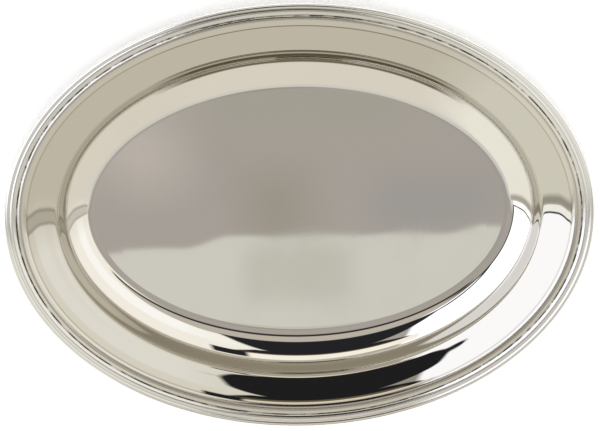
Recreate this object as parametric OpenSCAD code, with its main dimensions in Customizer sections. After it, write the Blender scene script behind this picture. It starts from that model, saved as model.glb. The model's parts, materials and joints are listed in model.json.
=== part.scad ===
// Oval serving tray: a pressed pan with a stepped well, a rolled edge border that
// clips round the pan's flange, and a round wire inside the roll.
// Origin: centre of the underside of the floor. +Z up, +X along the length. Millimetres.

/* [Overall] */
// Length over the rolled edge
length = 406; // [320:2:520]
// Width over the rolled edge
width = 298; // [240:2:380]

/* [Pan] */
// Thickness of the pan's sheet
sheet = 0.8; // [0.6:0.05:1]
// Height of the soft cove between the floor and the wall
cove_rise = 5.8; // [5:0.1:9]
// Height of the steep wall above the cove
wall_rise = 11.6; // [8:0.1:16]
// Height gained across the rim
rim_rise = 4.8; // [3:0.1:7]
// Width of the cove at the ends of the tray
cove_end_w = 15; // [11:0.1:24]
// Width of the cove along the sides of the tray
cove_side_w = 19.4; // [16:0.1:30]
// Width of the wall at the ends of the tray
wall_end_w = 4.8; // [4:0.1:8]
// Width of the wall along the sides of the tray
wall_side_w = 6.9; // [4:0.1:12]
// Width of the rim at the ends of the tray
rim_end_w = 20.6; // [14:0.1:28]
// Width of the rim along the sides of the tray
rim_side_w = 18.4; // [12:0.1:26]

/* [Moulding] */
// Width of the flat moulding outside the rim
moulding_w = 5.6; // [3:0.1:9]
// Height gained across the moulding
moulding_rise = 0.3; // [0:0.05:0.8]
// Width of the small step between the rim and the moulding
step_w = 1.3; // [0.8:0.1:2.5]
// Height of the small step between the rim and the moulding
step_rise = 0.8; // [0.4:0.1:1.4]
// Depth of the joggle that drops the flange below the moulding
joggle_drop = 0.7; // [0.4:0.1:1.2]
// Width of the joggle
joggle_w = 0.8; // [0.4:0.1:1.2]

/* [Edge] */
// Diameter of the wire inside the roll
wire_d = 3; // [2:0.1:5]
// Thickness of the edge border's strip
border_t = 0.6; // [0.4:0.05:0.9]
// Width of the ridge between the roll and the seam
ridge_w = 4.4; // [3:0.1:7]
// Height of the ridge above the flange
ridge_h = 1.05; // [0.9:0.05:2]
// How far the lower leaf stops short of the ridge's inner lip
leaf_setback = 0.4; // [0.2:0.1:1.5]
// Room between the wire and the roll
wire_clearance = 0.05; // [0.02:0.01:0.2]
// Room between the wire and the edge of the flange
flange_gap = 0.25; // [0.1:0.05:0.5]
// Width of the seam between the border and the moulding
seam_gap = 0.2; // [0.1:0.05:0.5]

/* [Hidden] */

// Facets round the oval, round the roll's section and in each rounded corner of the pan
OVAL_STEPS = 64;
ROLL_STEPS = 15;
RIDGE_STEPS = 8;
CORNER_STEPS = 2;

// Shape of the cove and of the rim: each pair is a share of the width and of the rise
COVE_SHAPE = [[0.325, 0.09], [0.655, 0.346], [0.88, 0.704]];
RIM_SHAPE = [[0.16, 0.15], [0.46, 0.34], [0.77, 0.59]];
// How far inside the cove's foot the control line leaves the flat floor
FLOOR_LEAD = 4.8;
// Angle above the wire's centre where the roll meets the ridge
GROOVE_ANGLE = 36;
// Angle at which the ridge's rounded top ends in the groove
RIDGE_END_ANGLE = 125;
// Half the height of the roll's mouth, which takes the flange
mouth_half = sheet / 2;

// Heights of the pan's top surface
floor_z = sheet;
wall_foot_z = floor_z + cove_rise;
wall_top_z = wall_foot_z + wall_rise;
rim_top_z = wall_top_z + rim_rise;
moulding_foot_z = rim_top_z + step_rise;
moulding_z = moulding_foot_z + moulding_rise;
flange_z = moulding_z - joggle_drop;

// The roll's section, by its distance in from the outer edge and its height
wire_r = wire_d / 2;
roll_inner_r = wire_r + wire_clearance;
roll_r = roll_inner_r + border_t;
roll_in = roll_r;
roll_z = flange_z - mouth_half;
groove_in = roll_in + roll_r * cos(GROOVE_ANGLE);
lip_in = groove_in + ridge_w;
flange_tip_in = roll_in + wire_r + flange_gap;

// Distances in from the outer edge, each as [at the ends, along the sides]
joggle_foot_in = [1, 1] * (lip_in + seam_gap);
joggle_top_in = joggle_foot_in + [1, 1] * joggle_w;
moulding_in = joggle_top_in + [1, 1] * moulding_w;
rim_out_in = moulding_in + [1, 1] * step_w;
rim_in = rim_out_in + [rim_end_w, rim_side_w];
wall_in = rim_in + [wall_end_w, wall_side_w];
floor_in = wall_in + [cove_end_w, cove_side_w];

// One station of the section: inset at the ends, inset along the sides, height
function station(inset, z) = [inset[0], inset[1], z];
// The stations of a band between two insets and heights, by their shares
function band(inset0, inset1, z0, rise, shares) =
    [for (s = shares) station(inset0 + (inset1 - inset0) * s[0], z0 + rise * s[1])];
function mid(p, q) = (p + q) / 2;
// Corner of the control line, rounded from one edge's middle to the next edge's middle
function corner(p, q, r, t) =
    (1 - t) * (1 - t) * mid(p, q) + 2 * t * (1 - t) * q + t * t * mid(q, r);
function rounded(line) = [
    line[0],
    for (i = [1 : len(line) - 2], k = [0 : CORNER_STEPS - 1])
        corner(line[i - 1], line[i], line[i + 1], (k + 0.5) / CORNER_STEPS),
    line[len(line) - 1]
];
// Point at an angle round the oval that lies inside the outer edge by the station's insets
function oval_point(s, a) =
    [(length / 2 - s[0]) * cos(a), (width / 2 - s[1]) * sin(a), s[2]];
function oval_angle(k) = 360 * k / OVAL_STEPS;
function oval_ring(s) = [for (k = [0 : OVAL_STEPS - 1]) oval_point(s, oval_angle(k))];

// Slope of the section between two stations, at right angles to the oval
function run(p, q, a) =
    let (n = [(width / 2 - p[1]) * cos(a), (length / 2 - p[0]) * sin(a)])
    norm([p[0] - q[0], p[1] - q[1]]) == 0 ? 1
    : abs((p[0] - q[0]) * cos(a) * n[0] + (p[1] - q[1]) * sin(a) * n[1]) / norm(n);
function slope(p, q, a) = (q[2] - p[2]) / run(p, q, a);
// Ring on the underside of the sheet, below station i of the top line
function under_ring(top, i) =
    let (p = top[max(i - 1, 0)], q = top[min(i + 1, len(top) - 1)])
    [for (k = [0 : OVAL_STEPS - 1])
        let (a = oval_angle(k), s = slope(p, q, a))
        oval_point(top[i], a) - [0, 0, sheet * sqrt(1 + s * s)]];

// Closed band of rings: every ring is joined to the next, and the last to the first
module ring_solid(rings) {
    n = len(rings);
    polyhedron(
        points = [for (r = rings) each r],
        faces = [for (i = [0 : n - 1], k = [0 : OVAL_STEPS - 1])
            let (j = (i + 1) % n, m = (k + 1) % OVAL_STEPS)
            each [
                [i * OVAL_STEPS + k, j * OVAL_STEPS + k, j * OVAL_STEPS + m],
                [i * OVAL_STEPS + k, j * OVAL_STEPS + m, i * OVAL_STEPS + m]
            ]]
    );
}

// The pan's top line, from the floor's edge out to the tip of the flange
pan_line = rounded(concat(
    [station(floor_in + [1, 1] * FLOOR_LEAD, floor_z), station(floor_in, floor_z)],
    band(floor_in, wall_in, floor_z, cove_rise, COVE_SHAPE),
    [station(wall_in, wall_foot_z), station(rim_in, wall_top_z)],
    band(rim_in, rim_out_in, wall_top_z, rim_rise, RIM_SHAPE),
    [station(rim_out_in, rim_top_z), station(moulding_in, moulding_foot_z)],
    [station(mid(moulding_in, joggle_top_in), moulding_z), station(joggle_top_in, moulding_z)],
    [for (inset = [joggle_foot_in, [1, 1] * lip_in, [1, 1] * flange_tip_in]) station(inset, flange_z)]
));

module tray_pan() {
    last = len(pan_line) - 1;
    color("lightgray") union() {
        ring_solid(concat(
            [for (i = [last : -1 : 0]) oval_ring(pan_line[i])],
            [for (i = [0 : last]) under_ring(pan_line, i)]
        ));
        linear_extrude(sheet) polygon([for (p = oval_ring(pan_line[0])) [p[0], p[1]]]);
    }
}

// Point of a circle round the wire's centre; angle 0 points inwards, 90 up
function roll_point(r, a) =
    station([1, 1] * (roll_in + r * cos(a)), roll_z + r * sin(a));
function edge_point(inset, z) = station([1, 1] * inset, z);

mouth_angle = asin(mouth_half / roll_inner_r);
leaf_z = roll_z - mouth_half - border_t;
leaf_angle = asin((mouth_half + border_t) / roll_r);
leaf_in = lip_in - leaf_setback;
ridge_r = ridge_w / (1 - cos(RIDGE_END_ANGLE));

module edge_border() {
    ridge = [for (k = [0 : RIDGE_STEPS])
        let (a = RIDGE_END_ANGLE * k / RIDGE_STEPS)
        edge_point(lip_in - ridge_r * (1 - cos(a)), flange_z + ridge_h * sin(a))];
    roll_outside = [for (k = [0 : ROLL_STEPS])
        roll_point(roll_r, GROOVE_ANGLE + (360 - leaf_angle - GROOVE_ANGLE) * k / ROLL_STEPS)];
    leaf = [edge_point(leaf_in, leaf_z), edge_point(leaf_in, roll_z - mouth_half)];
    roll_inside = [for (k = [0 : ROLL_STEPS])
        roll_point(roll_inner_r, 360 - mouth_angle - (360 - 2 * mouth_angle) * k / ROLL_STEPS)];
    color("gainsboro")
        ring_solid([for (s = concat(ridge, roll_outside, leaf, roll_inside)) oval_ring(s)]);
}

module edge_wire() {
    color("silver")
        ring_solid([for (k = [0 : ROLL_STEPS - 1])
            oval_ring(roll_point(wire_r, 360 * k / ROLL_STEPS))]);
}

tray_pan();
edge_border();
edge_wire();
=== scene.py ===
"""Oval serving tray of polished steel: a pressed pan, a rolled edge border and the wire inside it."""

import json
import logging
import math
from dataclasses import dataclass
from enum import Enum

import bpy
from mathutils import Matrix, Vector

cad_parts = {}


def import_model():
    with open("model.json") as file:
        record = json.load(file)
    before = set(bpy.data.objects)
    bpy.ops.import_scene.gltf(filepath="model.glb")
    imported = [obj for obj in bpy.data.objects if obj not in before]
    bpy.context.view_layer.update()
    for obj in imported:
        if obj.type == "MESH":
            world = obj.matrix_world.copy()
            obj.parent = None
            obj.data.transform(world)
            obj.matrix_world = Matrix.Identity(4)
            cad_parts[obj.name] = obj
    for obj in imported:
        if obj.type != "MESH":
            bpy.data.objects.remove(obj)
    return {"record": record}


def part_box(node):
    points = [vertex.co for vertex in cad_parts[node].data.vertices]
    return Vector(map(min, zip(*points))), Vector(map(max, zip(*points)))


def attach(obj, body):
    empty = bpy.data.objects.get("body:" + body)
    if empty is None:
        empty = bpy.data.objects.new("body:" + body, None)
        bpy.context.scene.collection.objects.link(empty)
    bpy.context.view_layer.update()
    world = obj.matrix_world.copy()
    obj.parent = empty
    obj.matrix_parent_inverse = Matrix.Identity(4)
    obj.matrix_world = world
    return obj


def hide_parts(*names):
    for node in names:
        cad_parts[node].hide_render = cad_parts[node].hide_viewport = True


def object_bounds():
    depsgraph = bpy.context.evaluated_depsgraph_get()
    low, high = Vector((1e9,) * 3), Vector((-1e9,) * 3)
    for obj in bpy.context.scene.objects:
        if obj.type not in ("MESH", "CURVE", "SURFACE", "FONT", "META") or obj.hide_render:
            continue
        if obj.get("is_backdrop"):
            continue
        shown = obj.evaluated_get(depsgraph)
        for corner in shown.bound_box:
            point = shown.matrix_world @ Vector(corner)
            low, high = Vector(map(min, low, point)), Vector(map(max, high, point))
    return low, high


LOG = logging.getLogger("serving_tray")

MM = 0.001
BODY = "root"

Colour = tuple[float, float, float]
Inset = tuple[float, float]


def linear(red: float, green: float, blue: float) -> Colour:
    """Turns screen values into linear light.

    Args:
        red: Red as shown, from 0 to 255.
        green: Green as shown, from 0 to 255.
        blue: Blue as shown, from 0 to 255.

    Returns:
        The three values in linear light.
    """
    shown = [value / 255 for value in (red, green, blue)]
    return tuple(s / 12.92 if s <= 0.04045 else ((s + 0.055) / 1.055) ** 2.4 for s in shown)


def over(colour: Colour, tint: Colour) -> Colour:
    """Gives the light that shows as a colour when metal of a tint mirrors it."""
    return tuple(c / t for c, t in zip(colour, tint))


# ---------------------------------------------------------------- sections and lofts


@dataclass(frozen=True)
class Oval:
    """One oval of a loft: its half axes and its height, in metres."""

    half_length: float
    half_width: float
    height: float


@dataclass(frozen=True)
class Station:
    """One point of a section, in millimetres.

    The insets are measured in from the outer edge at the ends and along the sides.
    """

    end: float
    side: float
    height: float

    def toward(self, other: "Station", share: float) -> "Station":
        """Gives the point at a share of the way to another station."""
        return Station(
            self.end + (other.end - self.end) * share,
            self.side + (other.side - self.side) * share,
            self.height + (other.height - self.height) * share,
        )


@dataclass(frozen=True)
class Outline:
    """The oval over the rolled edge, in metres, from which sections are inset."""

    half_length: float
    half_width: float

    def oval(self, station: Station) -> Oval:
        """Gives the oval that runs through a station of the section."""
        return Oval(
            self.half_length - station.end * MM,
            self.half_width - station.side * MM,
            station.height * MM,
        )


def band(start: Station, end: Station, shares: tuple[Inset, ...]) -> list[Station]:
    """Places stations between two others by their shares of the width and of the rise.

    Args:
        start: The lower station.
        end: The upper station.
        shares: Pairs of a share of the width and a share of the rise.

    Returns:
        The stations, in order.
    """
    return [
        Station(
            start.end + (end.end - start.end) * across,
            start.side + (end.side - start.side) * across,
            start.height + (end.height - start.height) * up,
        )
        for across, up in shares
    ]


def rounded(line: list[Station], steps: int) -> list[Station]:
    """Rounds every corner of a control line from one edge's middle to the next edge's middle.

    Args:
        line: The control line.
        steps: How many points to put in each corner.

    Returns:
        The rounded line, with the first and last stations kept.
    """
    points = [line[0]]
    for before, corner, after in zip(line, line[1:], line[2:]):
        start = before.toward(corner, 0.5)
        end = corner.toward(after, 0.5)
        for step in range(steps):
            t = (step + 0.5) / steps
            points.append(start.toward(corner, t).toward(corner.toward(end, t), t))
    points.append(line[-1])
    return points


class Ending(Enum):
    """How a loft of ovals is finished."""

    CAPPED = "the first oval is filled with a flat face"
    JOINED = "the last oval is joined to the first"


@dataclass
class OvalLoft:
    """A skin drawn out through a row of ovals."""

    name: str
    ovals: list[Oval]
    ending: Ending
    segments: int = 384
    weld: float = 1e-6

    def build(self) -> bpy.types.Object:
        """Draws the skin out from oval to oval and closes it.

        Returns:
            The new mesh object, at the origin.
        """
        bpy.ops.object.select_all(action="DESELECT")
        bpy.ops.mesh.primitive_circle_add(vertices=self.segments, radius=1, fill_type="NOTHING")
        piece = bpy.context.object
        piece.name = self.name
        piece.data.name = self.name
        bpy.ops.object.mode_set(mode="EDIT")
        bpy.ops.mesh.select_mode(type="EDGE")
        bpy.ops.mesh.select_all(action="SELECT")
        first = self.ovals[0]
        self._move_ring(Oval(1, 1, 0), first)
        ovals = self.ovals[1:] + ([first] if self.ending is Ending.JOINED else [])
        before = first
        for after in ovals:
            bpy.ops.mesh.extrude_region_move()
            self._move_ring(before, after)
            before = after
        if self.ending is Ending.CAPPED:
            self._cap(first)
        bpy.ops.mesh.select_all(action="SELECT")
        bpy.ops.mesh.remove_doubles(threshold=self.weld)
        bpy.ops.mesh.normals_make_consistent(inside=False)
        bpy.ops.object.mode_set(mode="OBJECT")
        return piece

    def _move_ring(self, before: Oval, after: Oval) -> None:
        """Moves the selected ring from one oval to another."""
        wider = after.half_length / before.half_length
        deeper = after.half_width / before.half_width
        bpy.ops.transform.resize(value=(wider, deeper, 1), center_override=(0, 0, 0))
        bpy.ops.transform.translate(value=(0, 0, after.height - before.height))

    def _cap(self, oval: Oval) -> None:
        """Fills the first oval with one flat face."""
        bpy.ops.mesh.select_all(action="DESELECT")
        bpy.ops.object.mode_set(mode="OBJECT")
        mesh = bpy.context.object.data
        reach = oval.half_length * 1.01
        for vertex in mesh.vertices:
            vertex.select = vertex.co.xy.length < reach
        for edge in mesh.edges:
            edge.select = all(mesh.vertices[v].select for v in edge.vertices)
        bpy.ops.object.mode_set(mode="EDIT")
        bpy.ops.mesh.edge_face_add()


def shade_smooth(piece: bpy.types.Object, angle: float) -> None:
    """Shades a piece smoothly, keeping edges sharper than an angle in degrees."""
    bpy.ops.object.select_all(action="DESELECT")
    piece.select_set(True)
    bpy.context.view_layer.objects.active = piece
    bpy.ops.object.shade_smooth_by_angle(angle=math.radians(angle))


# ---------------------------------------------------------------- node helpers


class Graph:
    """Adds nodes to a tree and joins them."""

    def __init__(self, tree: bpy.types.NodeTree) -> None:
        """Keeps the tree that nodes are added to."""
        self.tree = tree

    def node(self, kind: str, **settings: object) -> bpy.types.Node:
        """Adds a node.

        Args:
            kind: The node's type.
            **settings: Values for the node's own properties.

        Returns:
            The new node.
        """
        made = self.tree.nodes.new(kind)
        for key, value in settings.items():
            setattr(made, key, value)
        return made

    def feed(self, socket: bpy.types.NodeSocket, value: object) -> None:
        """Joins a socket to another, or sets its value."""
        if isinstance(value, bpy.types.NodeSocket):
            self.tree.links.new(value, socket)
        else:
            socket.default_value = value

    def math(self, operation: str, *values: object, clamp: bool = False) -> bpy.types.NodeSocket:
        """Adds a Math node.

        Args:
            operation: The name of the operation.
            *values: A socket or a number for each input.
            clamp: Whether the result is held between 0 and 1.

        Returns:
            The result socket.
        """
        made = self.node("ShaderNodeMath", operation=operation, use_clamp=clamp)
        for socket, value in zip(made.inputs, values):
            self.feed(socket, value)
        return made.outputs[0]

    def mix(self, mask: object, under: object, top: object) -> bpy.types.NodeSocket:
        """Lays one colour over another by a mask.

        Args:
            mask: The mask's socket, or a number.
            under: The colour below.
            top: The colour laid over it.

        Returns:
            The mixed colour's socket.
        """
        made = self.node("ShaderNodeMix", data_type="RGBA")
        for socket, value in zip((made.inputs[0], made.inputs[6], made.inputs[7]), (mask, under, top)):
            self.feed(socket, (*value, 1) if isinstance(value, tuple) else value)
        return made.outputs[2]

    def blend(self, mask: object, low: object, high: object) -> bpy.types.NodeSocket:
        """Goes from one number to another by a mask.

        Args:
            mask: The mask's socket.
            low: The value where the mask is 0.
            high: The value where the mask is 1.

        Returns:
            The blended number's socket.
        """
        made = self.node("ShaderNodeMix", data_type="FLOAT")
        for socket, value in zip((made.inputs[0], made.inputs[2], made.inputs[3]), (mask, low, high)):
            self.feed(socket, value)
        return made.outputs[0]

    def use(self, group: bpy.types.NodeTree, **values: object) -> bpy.types.Node:
        """Places a node group.

        Args:
            group: The group's tree.
            **values: A socket or value for each input, by its name with _ for spaces.

        Returns:
            The group's node.
        """
        made = self.node("ShaderNodeGroup", node_tree=group)
        for key, value in values.items():
            self.feed(made.inputs[key.replace("_", " ")], value)
        return made


def new_group(
    name: str, inputs: dict[str, float | None], outputs: tuple[str, ...]
) -> tuple[Graph, bpy.types.Node, bpy.types.Node]:
    """Starts a shader node group.

    Args:
        name: The group's name.
        inputs: Each input's name and its usual value, or None for a vector.
        outputs: The names of the numbers that the group puts out.

    Returns:
        The group's graph, its input node and its output node.
    """
    tree = bpy.data.node_groups.new(name, "ShaderNodeTree")
    for key, value in inputs.items():
        kind = "NodeSocketVector" if value is None else "NodeSocketFloat"
        socket = tree.interface.new_socket(key, in_out="INPUT", socket_type=kind)
        if value is not None:
            socket.default_value = value
    for key in outputs:
        tree.interface.new_socket(key, in_out="OUTPUT", socket_type="NodeSocketFloat")
    graph = Graph(tree)
    return graph, graph.node("NodeGroupInput"), graph.node("NodeGroupOutput")


# ---------------------------------------------------------------- shared surface effects


class SurfaceEffects:
    """The node groups that the steel finishes share, each built once."""

    def __init__(self) -> None:
        """Builds every group."""
        self.oval_band = self._oval_band()
        self.buffing_lines = self._buffing_lines()
        self.sheet_ripple = self._sheet_ripple()
        self.handling_marks = self._handling_marks()

    def _oval_share(
        self, graph: Graph, given: bpy.types.Node
    ) -> tuple[bpy.types.NodeSocket, bpy.types.NodeSocket, bpy.types.NodeSocket]:
        """Measures how far out a point lies, as a share of an oval.

        Args:
            graph: The group's graph.
            given: The group's input node.

        Returns:
            The shares along, across and outwards, where 1 is on the oval.
        """
        split = graph.node("ShaderNodeSeparateXYZ")
        graph.feed(split.inputs[0], given.outputs["Vector"])
        along = graph.math("DIVIDE", split.outputs[0], given.outputs["Half Length"])
        across = graph.math("DIVIDE", split.outputs[1], given.outputs["Half Width"])
        squares = graph.math(
            "ADD", graph.math("MULTIPLY", along, along), graph.math("MULTIPLY", across, across)
        )
        return along, across, graph.math("SQRT", squares)

    def _oval_band(self) -> bpy.types.NodeTree:
        """Builds the mask that is 1 on an oval and fades to 0 on either side of it."""
        graph, given, put = new_group(
            "oval_band",
            {"Vector": None, "Half Length": 0.2, "Half Width": 0.15, "Reach": 0.001},
            ("Mask", "Inside"),
        )
        _, _, share = self._oval_share(graph, given)
        spread = graph.math("SUBTRACT", share, 1)
        mean = graph.math("ADD", given.outputs["Half Length"], given.outputs["Half Width"])
        away = graph.math("MULTIPLY", spread, graph.math("MULTIPLY", mean, 0.5))
        steps = graph.math("DIVIDE", away, given.outputs["Reach"])
        near = graph.math("SUBTRACT", 1, graph.math("ABSOLUTE", steps), clamp=True)
        inside = graph.math("SUBTRACT", 0.5, graph.math("MULTIPLY", steps, 0.5), clamp=True)
        graph.feed(put.inputs["Mask"], near)
        graph.feed(put.inputs["Inside"], inside)
        return graph.tree

    def _buffing_lines(self) -> bpy.types.NodeTree:
        """Builds fine polishing lines that follow the oval, as a mask and a height."""
        graph, given, put = new_group(
            "buffing_lines",
            {"Vector": None, "Half Length": 0.2, "Half Width": 0.15, "Line Scale": 900, "Break Up": 6},
            ("Mask", "Height"),
        )
        along, across, share = self._oval_share(graph, given)
        ring = graph.math("MULTIPLY", share, given.outputs["Line Scale"])
        point = graph.node("ShaderNodeCombineXYZ")
        graph.feed(point.inputs[0], ring)
        graph.feed(point.inputs[1], graph.math("MULTIPLY", along, given.outputs["Break Up"]))
        graph.feed(point.inputs[2], graph.math("MULTIPLY", across, given.outputs["Break Up"]))
        noise = graph.node("ShaderNodeTexNoise")
        graph.feed(noise.inputs["Vector"], point.outputs[0])
        graph.feed(noise.inputs["Scale"], 1)
        graph.feed(noise.inputs["Detail"], 3)
        graph.feed(put.inputs["Height"], noise.outputs[0])
        contrast = graph.math("MULTIPLY", graph.math("SUBTRACT", noise.outputs[0], 0.5), 3)
        graph.feed(put.inputs["Mask"], graph.math("ADD", contrast, 0.4, clamp=True))
        return graph.tree

    def _sheet_ripple(self) -> bpy.types.NodeTree:
        """Builds the slow unevenness of pressed and polished sheet, as a height."""
        graph, given, put = new_group(
            "sheet_ripple", {"Vector": None, "Scale": 16, "Detail": 1}, ("Height",)
        )
        noise = graph.node("ShaderNodeTexNoise")
        graph.feed(noise.inputs["Vector"], given.outputs["Vector"])
        graph.feed(noise.inputs["Scale"], given.outputs["Scale"])
        graph.feed(noise.inputs["Detail"], given.outputs["Detail"])
        graph.feed(put.inputs["Height"], noise.outputs[0])
        return graph.tree

    def _handling_marks(self) -> bpy.types.NodeTree:
        """Builds soft smears and a faint bloom, as a mask."""
        graph, given, put = new_group(
            "handling_marks", {"Vector": None, "Scale": 9, "Threshold": 0.5}, ("Mask",)
        )
        noise = graph.node("ShaderNodeTexNoise")
        graph.feed(noise.inputs["Vector"], given.outputs["Vector"])
        graph.feed(noise.inputs["Scale"], given.outputs["Scale"])
        graph.feed(noise.inputs["Detail"], 5)
        graph.feed(noise.inputs["Roughness"], 0.6)
        shifted = graph.math("SUBTRACT", noise.outputs[0], given.outputs["Threshold"])
        graph.feed(put.inputs["Mask"], graph.math("MULTIPLY", shifted, 4, clamp=True))
        return graph.tree


# ---------------------------------------------------------------- finishes


@dataclass(frozen=True)
class PaintedShadeBand:
    """A band between two ovals with painted shade: a darker tint that stands in for a darker
    reflection there, with a roughness of its own.
    """

    inner: Oval
    outer: Oval
    # the painted shade's tint, which darkens the steel's tint
    shade_tint: Colour
    roughness: float


@dataclass(frozen=True)
class SteelFinish:
    """Polished steel: its tint, its gloss and how far each mark changes them."""

    name: str
    tint: Colour
    dulled_tint: Colour
    gloss_roughness: float
    marked_roughness: float
    line_height: float
    ripple_height: float
    ripple_scale: float
    soil_ovals: tuple[Oval, ...] = ()
    soil_reach: float = 0.0005
    soil_tint: Colour = (0.1, 0.09, 0.075)
    soil_scale: float = 140
    soil_threshold: float = 0.36
    soil_strength: float = 1.6
    soil_roughness: float = 0.6
    calm_oval: Oval | None = None
    calm_ripple_height: float = 0.0
    # bands of painted shade: darker tints that stand in for darker reflections
    painted_shade_bands: tuple[PaintedShadeBand, ...] = ()

    def material(self, effects: SurfaceEffects, outline: Outline) -> bpy.types.Material:
        """Builds the finish's material.

        Args:
            effects: The shared node groups.
            outline: The tray's outline, which the polishing lines follow.

        Returns:
            The new material.
        """
        made = bpy.data.materials.new(self.name)
        made.use_nodes = True
        graph = Graph(made.node_tree)
        shader = made.node_tree.nodes["Principled BSDF"]
        shader.inputs["Metallic"].default_value = 1
        place = graph.node("ShaderNodeTexCoord").outputs["Object"]
        lines = graph.use(
            effects.buffing_lines,
            Vector=place,
            Half_Length=outline.half_length,
            Half_Width=outline.half_width,
        )
        marks = graph.use(effects.handling_marks, Vector=place)
        colour = graph.mix(marks.outputs["Mask"], self.tint, self.dulled_tint)
        wear = graph.math("MULTIPLY", marks.outputs["Mask"], lines.outputs["Mask"])
        roughness = graph.blend(wear, self.gloss_roughness, self.marked_roughness)
        # painted shade: each band darkens the colour where the reflection should look darker
        for shade_band in self.painted_shade_bands:
            colour, roughness = self._paint_shade(graph, effects, place, shade_band, colour, roughness)
        for oval in self.soil_ovals:
            colour, roughness = self._soil(graph, effects, place, oval, colour, roughness)
        graph.feed(shader.inputs["Base Color"], colour)
        graph.feed(shader.inputs["Roughness"], roughness)
        graph.feed(shader.inputs["Normal"], self._relief(graph, effects, place, lines))
        return made

    def _paint_shade(
        self,
        graph: Graph,
        effects: SurfaceEffects,
        place: bpy.types.NodeSocket,
        shade_band: PaintedShadeBand,
        colour: bpy.types.NodeSocket,
        roughness: bpy.types.NodeSocket,
    ) -> tuple[bpy.types.NodeSocket, bpy.types.NodeSocket]:
        """Paints shade into the steel between two ovals: a darker tint that stands in for a darker
        reflection, with the band's roughness.

        Args:
            graph: The material's graph.
            effects: The shared node groups.
            place: The object coordinates.
            shade_band: The band.
            colour: The colour so far.
            roughness: The roughness so far.

        Returns:
            The new colour and roughness.
        """
        inner, outer = (
            graph.use(
                effects.oval_band,
                Vector=place,
                Half_Length=oval.half_length,
                Half_Width=oval.half_width,
                Reach=0.0006,
            ).outputs["Inside"]
            for oval in (shade_band.inner, shade_band.outer)
        )
        mask = graph.math("SUBTRACT", outer, inner, clamp=True)
        # painted shade: the band's tint darkens the steel's tint
        tint = tuple(h * t for h, t in zip(shade_band.shade_tint, self.tint))
        return graph.mix(mask, colour, tint), graph.blend(mask, roughness, shade_band.roughness)

    def _soil(
        self,
        graph: Graph,
        effects: SurfaceEffects,
        place: bpy.types.NodeSocket,
        oval: Oval,
        colour: bpy.types.NodeSocket,
        roughness: bpy.types.NodeSocket,
    ) -> tuple[bpy.types.NodeSocket, bpy.types.NodeSocket]:
        """Darkens the steel along an oval where polish stays in a corner.

        Args:
            graph: The material's graph.
            effects: The shared node groups.
            place: The object coordinates.
            oval: The oval that the soil follows.
            colour: The colour so far.
            roughness: The roughness so far.

        Returns:
            The new colour and roughness.
        """
        near = graph.use(
            effects.oval_band,
            Vector=place,
            Half_Length=oval.half_length,
            Half_Width=oval.half_width,
            Reach=self.soil_reach,
        )
        patches = graph.use(
            effects.handling_marks,
            Vector=place,
            Scale=self.soil_scale,
            Threshold=self.soil_threshold,
        )
        mask = graph.math("MULTIPLY", near.outputs["Mask"], patches.outputs["Mask"])
        sharp = graph.math("MULTIPLY", mask, self.soil_strength, clamp=True)
        stained = graph.mix(sharp, colour, self.soil_tint)
        return stained, graph.blend(sharp, roughness, self.soil_roughness)

    def _relief(
        self,
        graph: Graph,
        effects: SurfaceEffects,
        place: bpy.types.NodeSocket,
        lines: bpy.types.Node,
    ) -> bpy.types.NodeSocket:
        """Joins the sheet's unevenness and the polishing lines in one normal.

        Args:
            graph: The material's graph.
            effects: The shared node groups.
            place: The object coordinates.
            lines: The node of the polishing lines.

        Returns:
            The normal's socket.
        """
        ripple = graph.use(effects.sheet_ripple, Vector=place, Scale=self.ripple_scale)
        height = graph.math("MULTIPLY", ripple.outputs["Height"], self.ripple_height)
        if self.calm_oval is not None:
            floor = graph.use(
                effects.oval_band,
                Vector=place,
                Half_Length=self.calm_oval.half_length,
                Half_Width=self.calm_oval.half_width,
                Reach=0.012,
            )
            calm = graph.math("MULTIPLY", ripple.outputs["Height"], self.calm_ripple_height)
            height = graph.blend(floor.outputs["Inside"], height, calm)
        fine = graph.math("MULTIPLY", lines.outputs["Height"], self.line_height)
        bump = graph.node("ShaderNodeBump")
        graph.feed(bump.inputs["Strength"], 1)
        graph.feed(bump.inputs["Distance"], 1)
        graph.feed(bump.inputs["Height"], graph.math("ADD", height, fine))
        return bump.outputs[0]


# ---------------------------------------------------------------- the tray's parts


@dataclass
class EdgeSizes:
    """Sizes of the rolled edge in millimetres, and the heights that they give."""

    outline: Outline
    top: float
    wire_radius: float = 1.5
    wire_clearance: float = 0.05
    border_sheet: float = 0.6
    pan_sheet: float = 0.8
    ridge_width: float = 4.4
    ridge_height: float = 1.05
    ridge_end_angle: float = 125
    groove_angle: float = 36
    leaf_setback: float = 0.4
    flange_gap: float = 0.25

    @property
    def roll_inner_radius(self) -> float:
        """Radius of the roll's inside."""
        return self.wire_radius + self.wire_clearance

    @property
    def roll_radius(self) -> float:
        """Radius of the roll's outside."""
        return self.roll_inner_radius + self.border_sheet

    @property
    def roll_height(self) -> float:
        """Height of the wire's centre."""
        return self.top - self.roll_radius

    @property
    def mouth_half(self) -> float:
        """Half the height of the roll's mouth, which takes the flange."""
        return self.pan_sheet / 2

    @property
    def flange_height(self) -> float:
        """Height of the flange's top."""
        return self.roll_height + self.mouth_half

    @property
    def lip_inset(self) -> float:
        """Inset of the border's inner lip."""
        groove = self.roll_radius * (1 + math.cos(math.radians(self.groove_angle)))
        return groove + self.ridge_width

    @property
    def flange_tip_inset(self) -> float:
        """Inset of the flange's tip, beside the wire."""
        return self.roll_radius + self.wire_radius + self.flange_gap

    def edge_station(self, inset: float, height: float) -> Station:
        """Gives a station that is inset by the same amount all round."""
        return Station(inset, inset, height)

    def roll_station(self, radius: float, angle: float) -> Station:
        """Gives a point round the wire; angle 0 points inwards and 90 up."""
        turn = math.radians(angle)
        return self.edge_station(
            self.roll_radius + radius * math.cos(turn), self.roll_height + radius * math.sin(turn)
        )


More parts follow.
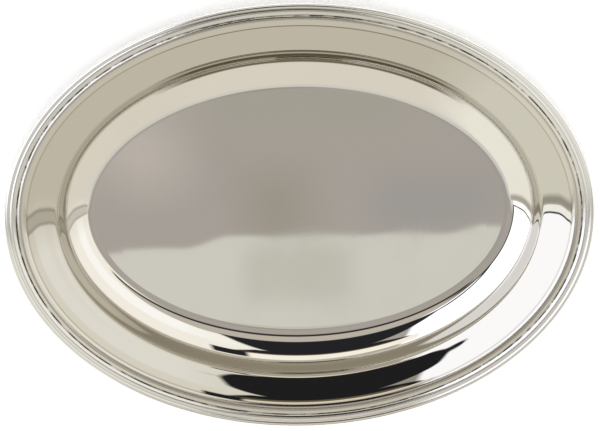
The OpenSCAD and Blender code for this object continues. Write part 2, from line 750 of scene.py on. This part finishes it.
@dataclass
class TrayPan:
    """The pressed pan: floor, cove, wall, rim, step, moulding and flange, in millimetres."""

    edge: EdgeSizes
    floor_top: float
    cove_rise: float = 5.8
    wall_rise: float = 11.6
    rim_rise: float = 4.8
    cove_width: Inset = (15.0, 19.4)
    wall_width: Inset = (4.8, 6.9)
    rim_width: Inset = (20.6, 18.4)
    moulding_width: float = 5.6
    moulding_rise: float = 0.3
    step_width: float = 1.3
    step_rise: float = 0.8
    joggle_width: float = 0.8
    seam_gap: float = 0.2
    floor_lead: float = 4.8
    cove_shape: tuple[Inset, ...] = ((0.325, 0.09), (0.655, 0.346), (0.88, 0.704))
    rim_shape: tuple[Inset, ...] = ((0.16, 0.15), (0.46, 0.34), (0.77, 0.59))
    floor_shares: tuple[float, ...] = (0.02, 0.15, 0.3, 0.45, 0.6, 0.75, 0.9)
    corner_steps: int = 5
    segments: int = 384
    smooth_angle: float = 50
    # where the wall, the rim, the step and the moulding start, and where the last one ends
    band_corners: tuple[int, ...] = (5, 6, 10, 11, 14)
    # painted shade for each band, a darker tint standing in for a darker reflection, and the band's
    # roughness
    band_shade_and_roughness: tuple[tuple[Colour, float], ...] = (
        ((0.62, 0.61, 0.58), 0.03),
        ((0.75, 0.74, 0.7), 0.012),
        ((0.52, 0.49, 0.42), 0.05),
        ((0.79, 0.78, 0.74), 0.09),
    )

    def _inward(self, station: Station, width: Inset, height: float) -> Station:
        """Gives the station further in by a width at the ends and at the sides."""
        return Station(station.end + width[0], station.side + width[1], height)

    @property
    def joggle_foot(self) -> Station:
        """Foot of the joggle, beside the border's lip."""
        return self.edge.edge_station(self.edge.lip_inset + self.seam_gap, self.edge.flange_height)

    def control_line(self) -> list[Station]:
        """Gives the top line's control stations, from the floor to the flange's tip."""
        edge = self.edge
        wall_foot_height = self.floor_top + self.cove_rise
        wall_top_height = wall_foot_height + self.wall_rise
        rim_top_height = wall_top_height + self.rim_rise
        moulding_foot_height = rim_top_height + self.step_rise
        moulding_height = moulding_foot_height + self.moulding_rise
        joggle_top = self._inward(self.joggle_foot, (self.joggle_width,) * 2, moulding_height)
        moulding_foot = self._inward(joggle_top, (self.moulding_width,) * 2, moulding_foot_height)
        rim_out = self._inward(moulding_foot, (self.step_width,) * 2, rim_top_height)
        rim_in = self._inward(rim_out, self.rim_width, wall_top_height)
        wall_foot = self._inward(rim_in, self.wall_width, wall_foot_height)
        floor_edge = self._inward(wall_foot, self.cove_width, self.floor_top)
        floor_lead = self._inward(floor_edge, (self.floor_lead,) * 2, self.floor_top)
        crown = moulding_foot.toward(joggle_top, 0.5)
        return [
            floor_lead,
            floor_edge,
            *band(floor_edge, wall_foot, self.cove_shape),
            wall_foot,
            rim_in,
            *band(rim_in, rim_out, self.rim_shape),
            rim_out,
            moulding_foot,
            Station(crown.end, crown.side, moulding_height),
            joggle_top,
            self.joggle_foot,
            edge.edge_station(edge.lip_inset, edge.flange_height),
            edge.edge_station(edge.flange_tip_inset, edge.flange_height),
        ]

    def floor_oval(self) -> Oval:
        """Gives the oval where the flat floor ends."""
        return self.edge.outline.oval(self.control_line()[1])

    def seam_oval(self) -> Oval:
        """Gives the oval of the seam between the border and the moulding."""
        return self.edge.outline.oval(self.joggle_foot)

    def painted_shade_bands(self) -> tuple[PaintedShadeBand, ...]:
        """Gives the bands of painted shade: darker tints that stand in for darker reflections on the
        wall, rim, step and moulding.
        """
        line = self.control_line()
        ovals = [self.edge.outline.oval(line[corner]) for corner in self.band_corners]
        return tuple(
            PaintedShadeBand(inner, outer, shade_tint, roughness)
            for inner, outer, (shade_tint, roughness) in zip(ovals, ovals[1:], self.band_shade_and_roughness)
        )

    def build(self) -> bpy.types.Object:
        """Draws the pan's top skin and gives it the thickness of its sheet.

        Returns:
            The finished piece.
        """
        line = rounded(self.control_line(), self.corner_steps)
        edge_oval = self.edge.outline.oval(line[0])
        floor = [
            Oval(edge_oval.half_length * share, edge_oval.half_width * share, edge_oval.height)
            for share in self.floor_shares
        ]
        ovals = floor + [self.edge.outline.oval(station) for station in line]
        piece = OvalLoft("pressed_pan", ovals, Ending.CAPPED, self.segments).build()
        self._face_up(piece)
        wall = piece.modifiers.new("sheet", "SOLIDIFY")
        wall.thickness = self.edge.pan_sheet * MM
        wall.offset = -1
        wall.use_even_offset = True
        bpy.ops.object.modifier_apply(modifier=wall.name)
        shade_smooth(piece, self.smooth_angle)
        return piece

    def _face_up(self, piece: bpy.types.Object) -> None:
        """Turns the skin's faces over if the floor faces down."""
        middle = min(piece.data.polygons, key=lambda face: face.center.xy.length)
        if middle.normal.z < 0:
            bpy.ops.object.mode_set(mode="EDIT")
            bpy.ops.mesh.select_all(action="SELECT")
            bpy.ops.mesh.flip_normals()
            bpy.ops.object.mode_set(mode="OBJECT")


@dataclass
class EdgeBorder:
    """The border strip: a ridge, a roll round the wire and a leaf under the flange."""

    edge: EdgeSizes
    ridge_steps: int = 18
    roll_steps: int = 40
    inside_steps: int = 20
    segments: int = 448
    smooth_angle: float = 35

    def section(self) -> list[Station]:
        """Gives the strip's closed section, from the lip round to its inside."""
        edge = self.edge
        ridge_radius = edge.ridge_width / (1 - math.cos(math.radians(edge.ridge_end_angle)))
        ridge = []
        for step in range(self.ridge_steps + 1):
            turn = math.radians(edge.ridge_end_angle * step / self.ridge_steps)
            inset = edge.lip_inset - ridge_radius * (1 - math.cos(turn))
            height = edge.flange_height + edge.ridge_height * math.sin(turn)
            ridge.append(edge.edge_station(inset, height))
        leaf_drop = edge.mouth_half + edge.border_sheet
        leaf_angle = math.degrees(math.asin(leaf_drop / edge.roll_radius))
        mouth_angle = math.degrees(math.asin(edge.mouth_half / edge.roll_inner_radius))
        outside = self._arc(edge.roll_radius, edge.groove_angle, 360 - leaf_angle, self.roll_steps)
        inside = self._arc(
            edge.roll_inner_radius, 360 - mouth_angle, mouth_angle, self.inside_steps
        )
        leaf_inset = edge.lip_inset - edge.leaf_setback
        leaf = [
            edge.edge_station(leaf_inset, edge.roll_height - leaf_drop),
            edge.edge_station(leaf_inset, edge.roll_height - edge.mouth_half),
        ]
        return ridge + outside[1:] + leaf + inside

    def _arc(self, radius: float, start: float, end: float, steps: int) -> list[Station]:
        """Gives stations round the wire from one angle to another."""
        return [
            self.edge.roll_station(radius, start + (end - start) * step / steps)
            for step in range(steps + 1)
        ]

    def build(self) -> bpy.types.Object:
        """Draws the strip's section round the oval.

        Returns:
            The finished piece.
        """
        ovals = [self.edge.outline.oval(station) for station in self.section()]
        piece = OvalLoft("rolled_border", ovals, Ending.JOINED, self.segments).build()
        shade_smooth(piece, self.smooth_angle)
        return piece


@dataclass
class EdgeWire:
    """The round wire inside the roll."""

    edge: EdgeSizes
    round_steps: int = 24
    segments: int = 256
    smooth_angle: float = 40

    def build(self) -> bpy.types.Object:
        """Draws the wire round the oval.

        Returns:
            The finished piece.
        """
        ovals = [
            self.edge.outline.oval(
                self.edge.roll_station(self.edge.wire_radius, 360 * step / self.round_steps)
            )
            for step in range(self.round_steps)
        ]
        piece = OvalLoft("border_wire", ovals, Ending.JOINED, self.segments).build()
        shade_smooth(piece, self.smooth_angle)
        return piece


# ---------------------------------------------------------------- surroundings


@dataclass(frozen=True)
class Arc:
    """A patch of the room, in degrees round and away from what the flat floor mirrors.

    Direction 90 is mirrored at the front of the tray, 180 at its right end, 270 at its
    back and 0 at its left end.
    """

    colour: Colour
    middle: float
    spread: float
    near: float
    far: float
    side_soft: float = 6
    end_soft: float = 4
    taper: float = 0
    drift: float = 0


@dataclass(frozen=True)
class CeilingPatch:
    """A soft patch of the ceiling right over the tray, in degrees across and up."""

    colour: Colour
    across: float
    up: float
    half_width: float
    half_height: float
    soft: float = 0.3


class StudioRoom:
    """The room that the polished steel mirrors: pale walls, bright windows and dark openings."""

    lean = math.radians(12.5)
    ceiling = (165, 158, 150)
    lit_ceiling = (203, 200, 189)
    # the lit half's edge: its place, its rise at the left, its bend at the right and its waves
    lit_edge = -0.27
    lit_rise = 0.096
    lit_rise_span = (-1.05, -0.62)
    lit_bend = 0.075
    lit_bend_span = (1.25, 1.7)
    lit_waves = 9
    lit_wobble = 0.006
    lit_soft = 0.035
    matt_light = (1.7, 1.7, 1.7)
    backdrop = (1.0, 1.0, 1.0)
    ceiling_patches = (
        CeilingPatch((163, 158, 146), 0.1, 1.0, 0.9, 0.3, 0.6),
        CeilingPatch((186, 178, 169), -1.35, 0.55, 0.35, 0.3, 0.7),
        CeilingPatch((155, 149, 137), -0.2, 0.05, 0.3, 0.35, 0.6),
        CeilingPatch((157, 153, 148), 1.15, 0.1, 0.5, 0.25, 0.5),
    )
    ceiling_shade = CeilingPatch((191, 188, 176), -0.03, -0.5, 0.46, 0.24, 0.3)
    patches = (
        # pale walls, from the left end round to the right end by the back
        Arc((240, 235, 222), 22, 44, 3.6, 80, 14, 1.6),
        Arc((240, 235, 222), 45, 52, 16, 80, 12, 1.6),
        Arc((249, 246, 239), 32, 44, 15, 34, 14, 5),
        Arc((214, 207, 192), 298, 62, 3.6, 80, 30, 2.6),
        Arc((231, 227, 213), 212, 32, 3.6, 80, 14, 1.6),
        # the lower walls and the furniture
        Arc((178, 169, 150), 0, 180, 80, 118, 2, 14),
        Arc((110, 99, 80), 267, 22, 55.5, 112, 8, 4),
        Arc((70, 66, 62), 340, 9, 82, 120, 6, 10),
        Arc((205, 198, 180), 60, 60, 96, 130, 30, 12),
        # the bright window
        Arc((284, 284, 290), 145, 35.5, 9.6, 84, 1.5, 1.5),
        # the ceiling's edge and the dark opening
        Arc((184, 176, 162), 90, 42, 7.6, 17.5, 2, 1, taper=2.6),
        Arc((48, 45, 43), 85, 37, 6.0, 7.9, 4, 0.5),
        Arc((60, 57, 54), 150, 34, 8.0, 9.8, 6, 0.7),
        Arc((40, 39, 41), 135, 3.5, 9.2, 18, 1.5, 1, drift=-2.4),
        Arc((35, 35, 37), 96.5, 19.5, 16.4, 40, 1.2, 1, taper=0.48, drift=-0.15),
        Arc((35, 35, 37), 93, 11, 38, 51, 1.2, 1, taper=-0.45, drift=0.1),
        Arc((122, 109, 84), 93, 14, 48.5, 51, 1.5, 2),
        Arc((35, 35, 37), 77, 3.5, 49, 68, 1.2, 1.5),
        Arc((246, 238, 221), 97, 16, 51, 68, 1.2, 0.8),
        # thin frames at the right and left ends
        Arc((168, 163, 150), 187.5, 2.5, 4, 80, 3, 2),
        Arc((268, 266, 260), 183, 2, 8, 80, 0.6, 2),
        Arc((34, 32, 31), 180.8, 0.45, 8, 74, 0.5, 2),
        Arc((196, 190, 176), 356.5, 4.5, 4, 80, 2, 2),
        Arc((172, 166, 152), 353.4, 0.8, 4, 80, 1.2, 2),
        Arc((178, 172, 158), 0.3, 0.8, 4, 80, 1.2, 2),
    )

    def __init__(self, tint: Colour) -> None:
        """Keeps the steel's tint, which the room's colours allow for."""
        self.tint = tint

    def _shade(self, shown: Colour) -> Colour:
        """Gives the light that shows as a colour in the steel."""
        return over(linear(*shown), self.tint)

    def _arc_mask(self) -> bpy.types.NodeTree:
        """Builds the mask of one patch of the room."""
        graph, given, put = new_group(
            "room_patch",
            {
                "Direction": 0,
                "Tilt": 0,
                "Middle": 0,
                "Spread": 10,
                "Near": 10,
                "Far": 20,
                "Side Soft": 5,
                "End Soft": 5,
                "Taper": 0,
                "Drift": 0,
            },
            ("Mask",),
        )
        above = graph.math("SUBTRACT", given.outputs["Tilt"], given.outputs["Near"])
        drift = graph.math("MULTIPLY", above, given.outputs["Drift"])
        middle = graph.math("ADD", given.outputs["Middle"], drift)
        turned = graph.math("SUBTRACT", given.outputs["Direction"], middle)
        wrapped = graph.math("ABSOLUTE", graph.math("WRAP", turned, 180, -180))
        taper = graph.math("MULTIPLY", above, given.outputs["Taper"])
        spread = graph.math("SUBTRACT", given.outputs["Spread"], taper)
        beside = graph.math("SUBTRACT", spread, wrapped)
        below = graph.math("SUBTRACT", given.outputs["Far"], given.outputs["Tilt"])
        masks = []
        for distance, soft in (
            (beside, given.outputs["Side Soft"]),
            (above, given.outputs["End Soft"]),
            (below, given.outputs["End Soft"]),
        ):
            edge = graph.math("ADD", graph.math("DIVIDE", distance, soft), 0.5, clamp=True)
            masks.append(edge)
        mask = graph.math("MULTIPLY", graph.math("MULTIPLY", masks[0], masks[1]), masks[2])
        graph.feed(put.inputs["Mask"], mask)
        return graph.tree

    def _mirrored(self, graph: Graph) -> bpy.types.NodeSocket:
        """Paints the room that the steel mirrors.

        Args:
            graph: The world's graph.

        Returns:
            The colour's socket.
        """
        place = graph.node("ShaderNodeTexCoord").outputs["Generated"]
        turn = graph.node("ShaderNodeVectorRotate", rotation_type="X_AXIS")
        graph.feed(turn.inputs["Vector"], place)
        graph.feed(turn.inputs["Angle"], -self.lean)
        split = graph.node("ShaderNodeSeparateXYZ")
        graph.feed(split.inputs[0], turn.outputs[0])
        right, up, away = split.outputs
        direction = graph.math("DEGREES", graph.math("ARCTAN2", up, right))
        tilt = graph.math("DEGREES", graph.math("ARCCOSINE", away))
        colour = self._shade(self.ceiling)
        colour = self._ceiling_light(graph, colour, right, up)
        group = self._arc_mask()
        for patch in self.patches:
            mask = graph.use(
                group,
                Direction=direction,
                Tilt=tilt,
                Middle=patch.middle,
                Spread=patch.spread,
                Near=patch.near,
                Far=patch.far,
                Side_Soft=patch.side_soft,
                End_Soft=patch.end_soft,
                Taper=patch.taper,
                Drift=patch.drift,
            )
            colour = graph.mix(mask.outputs["Mask"], colour, self._shade(patch.colour))
        return colour

    def _ceiling_light(
        self,
        graph: Graph,
        colour: Colour,
        right: bpy.types.NodeSocket,
        up: bpy.types.NodeSocket,
    ) -> bpy.types.NodeSocket:
        """Lays the lit half of the ceiling beside the dim half.

        Args:
            graph: The world's graph.
            colour: The dim half's light.
            right: The direction's part to the right.
            up: The direction's part towards the front of the room.

        Returns:
            The colour's socket.
        """
        across = graph.math("DEGREES", right)
        height = graph.math("DEGREES", up)
        for patch in self.ceiling_patches:
            mask = self._ceiling_mask(graph, across, height, patch)
            colour = graph.mix(mask, colour, self._shade(patch.colour))
        rise = self._ramp(graph, across, *self.lit_rise_span)
        bend = self._ramp(graph, across, *self.lit_bend_span)
        wobble = graph.math("SINE", graph.math("MULTIPLY", across, self.lit_waves))
        edge = graph.math("ADD", self.lit_edge, graph.math("MULTIPLY", rise, self.lit_rise))
        edge = graph.math("ADD", edge, graph.math("MULTIPLY", bend, self.lit_bend))
        edge = graph.math("ADD", edge, graph.math("MULTIPLY", wobble, self.lit_wobble))
        below = graph.math("SUBTRACT", edge, height)
        mask = graph.math("ADD", graph.math("DIVIDE", below, self.lit_soft), 0.5, clamp=True)
        lit = self._shade(self.lit_ceiling)
        shade = self.ceiling_shade
        shaded = self._ceiling_mask(graph, across, height, shade)
        lit = graph.mix(shaded, lit, self._shade(shade.colour))
        return graph.mix(mask, colour, lit)

    def _ramp(
        self, graph: Graph, value: bpy.types.NodeSocket, start: float, end: float
    ) -> bpy.types.NodeSocket:
        """Goes smoothly from 0 to 1 between two values.

        Args:
            graph: The world's graph.
            value: The number that the ramp follows.
            start: Where the ramp leaves 0.
            end: Where the ramp reaches 1.

        Returns:
            The ramp's socket.
        """
        made = graph.node("ShaderNodeMapRange", interpolation_type="SMOOTHSTEP")
        for socket, number in zip(made.inputs, (value, start, end, 0, 1)):
            graph.feed(socket, number)
        return made.outputs[0]

    def _ceiling_mask(
        self,
        graph: Graph,
        across: bpy.types.NodeSocket,
        height: bpy.types.NodeSocket,
        patch: CeilingPatch,
    ) -> bpy.types.NodeSocket:
        """Builds the mask of one soft patch of the ceiling.

        Args:
            graph: The world's graph.
            across: Degrees to the right.
            height: Degrees towards the front of the room.
            patch: The patch.

        Returns:
            The mask's socket.
        """
        sides = []
        for value, middle, half in (
            (across, patch.across, patch.half_width),
            (height, patch.up, patch.half_height),
        ):
            away = graph.math("ABSOLUTE", graph.math("SUBTRACT", value, middle))
            sides.append(self._ramp(graph, away, half + patch.soft / 2, half - patch.soft / 2))
        return graph.math("MULTIPLY", sides[0], sides[1])

    def build(self) -> None:
        """Makes the world: the mirrored room, soft light on matt surfaces, a pale backdrop."""
        world = bpy.data.worlds.new("studio")
        bpy.context.scene.world = world
        world.use_nodes = True
        graph = Graph(world.node_tree)
        world.node_tree.nodes.clear()
        path = graph.node("ShaderNodeLightPath")
        matt = graph.mix(path.outputs["Is Camera Ray"], self.matt_light, self.backdrop)
        colour = graph.mix(path.outputs["Is Glossy Ray"], matt, self._mirrored(graph))
        background = graph.node("ShaderNodeBackground")
        graph.feed(background.inputs["Color"], colour)
        output = graph.node("ShaderNodeOutputWorld")
        graph.feed(output.inputs["Surface"], background.outputs[0])


@dataclass(frozen=True)
class Tabletop:
    """The plain pale table that the tray stands on."""

    height: float
    radius: float = 8.0
    colour: Colour = (0.9, 0.9, 0.9)

    def build(self) -> bpy.types.Object:
        """Makes the table as one large round sheet."""
        bpy.ops.object.select_all(action="DESELECT")
        bpy.ops.mesh.primitive_circle_add(
            vertices=96, radius=self.radius, fill_type="NGON", location=(0, 0, self.height)
        )
        table = bpy.context.object
        table.name = "tabletop"
        made = bpy.data.materials.new("tabletop")
        made.use_nodes = True
        shader = made.node_tree.nodes["Principled BSDF"]
        shader.inputs["Base Color"].default_value = (*self.colour, 1)
        shader.inputs["Roughness"].default_value = 0.9
        shader.inputs["Specular IOR Level"].default_value = 0
        table.data.materials.append(made)
        table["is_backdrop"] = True
        return table


@dataclass(frozen=True)
class OverheadCamera:
    """The camera above the tray, leaning towards the back and turned a little."""

    edge_height: float
    lean: float = 12.5
    turn: float = 0.97
    distance: float = 4.5
    framed_width: float = 0.4126
    aim_right: float = 0.00047
    aim_up: float = 0.00038
    sensor: float = 36.0

    def build(self) -> bpy.types.Object:
        """Makes the camera and gives it to the scene."""
        lean = math.radians(self.lean)
        turn = math.radians(self.turn)
        side = Vector((1, 0, 0))
        back = Vector((0, math.cos(lean), -math.sin(lean)))
        toward = Vector((0, math.sin(lean), math.cos(lean)))
        right = side * math.cos(turn) - back * math.sin(turn)
        up = side * math.sin(turn) + back * math.cos(turn)
        aim = Vector((0, 0, self.edge_height)) + right * self.aim_right + up * self.aim_up
        data = bpy.data.cameras.new("overhead")
        data.sensor_width = self.sensor
        data.lens = self.sensor * self.distance / self.framed_width
        data.clip_end = 50
        camera = bpy.data.objects.new("overhead", data)
        bpy.context.scene.collection.objects.link(camera)
        turned = Matrix((right, up, toward)).transposed().to_4x4()
        camera.matrix_world = Matrix.Translation(aim + toward * self.distance) @ turned
        bpy.context.scene.camera = camera
        return camera


# ---------------------------------------------------------------- the whole tray


def dress(piece: bpy.types.Object, material: bpy.types.Material, node: str) -> None:
    """Gives a piece its finish and puts it in the place of its node.

    Args:
        piece: The finished piece.
        material: Its finish.
        node: The node that the piece stands for.
    """
    piece.data.materials.clear()
    piece.data.materials.append(material)
    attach(piece, BODY)
    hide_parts(node)
    LOG.info("%s: %d faces, for %s", piece.name, len(piece.data.polygons), node)


def main() -> None:
    """Builds the tray, its finishes, the room and the camera."""
    logging.basicConfig(level=logging.INFO, format="%(name)s %(message)s")
    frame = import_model()
    frame_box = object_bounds()
    tints = {m["slot"]: tuple(m["base_color"]) for m in frame["record"]["materials"]}
    low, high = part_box("edge_border")
    pan_low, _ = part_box("tray_pan")
    outline = Outline((high.x - low.x) / 2, (high.y - low.y) / 2)
    edge = EdgeSizes(outline, high.z / MM)
    pan = TrayPan(edge, pan_low.z / MM + edge.pan_sheet)
    border = EdgeBorder(edge)
    wire = EdgeWire(edge)

    effects = SurfaceEffects()
    pan_steel = SteelFinish(
        name="polished_steel",
        tint=tints["polished_steel"],
        dulled_tint=tuple(0.95 * c for c in tints["polished_steel"]),
        gloss_roughness=0.012,
        marked_roughness=0.05,
        line_height=1e-8,
        ripple_height=1.2e-5,
        ripple_scale=22,
        soil_ovals=(pan.seam_oval(),),
        soil_reach=0.0009,
        calm_oval=pan.floor_oval(),
        calm_ripple_height=2e-6,
        # the pan's bands of painted shade, darker tints for darker reflections
        painted_shade_bands=pan.painted_shade_bands(),
    )
    border_steel = SteelFinish(
        name="border_steel",
        tint=tuple(0.88 * c for c in tints["border_steel"]),
        dulled_tint=tuple(0.8 * c for c in tints["border_steel"]),
        gloss_roughness=0.1,
        marked_roughness=0.16,
        line_height=3e-8,
        ripple_height=1.6e-5,
        ripple_scale=30,
        soil_ovals=(outline.oval(edge.edge_station(edge.lip_inset, edge.flange_height)),),
        soil_reach=0.0004,
    )
    wire_steel = SteelFinish(
        name="wire_steel",
        tint=tints["wire_steel"],
        dulled_tint=tuple(0.85 * c for c in tints["wire_steel"]),
        gloss_roughness=0.3,
        marked_roughness=0.5,
        line_height=2e-7,
        ripple_height=1e-5,
        ripple_scale=40,
    )
    dress(pan.build(), pan_steel.material(effects, outline), "tray_pan")
    dress(border.build(), border_steel.material(effects, outline), "edge_border")
    dress(wire.build(), wire_steel.material(effects, outline), "edge_wire")

    StudioRoom(tints["polished_steel"]).build()
    Tabletop(frame_box[0].z).build()
    OverheadCamera(edge.roll_height * MM).build()
    bpy.context.scene.view_settings.view_transform = "Standard"


if __name__ == "__main__":
    main()
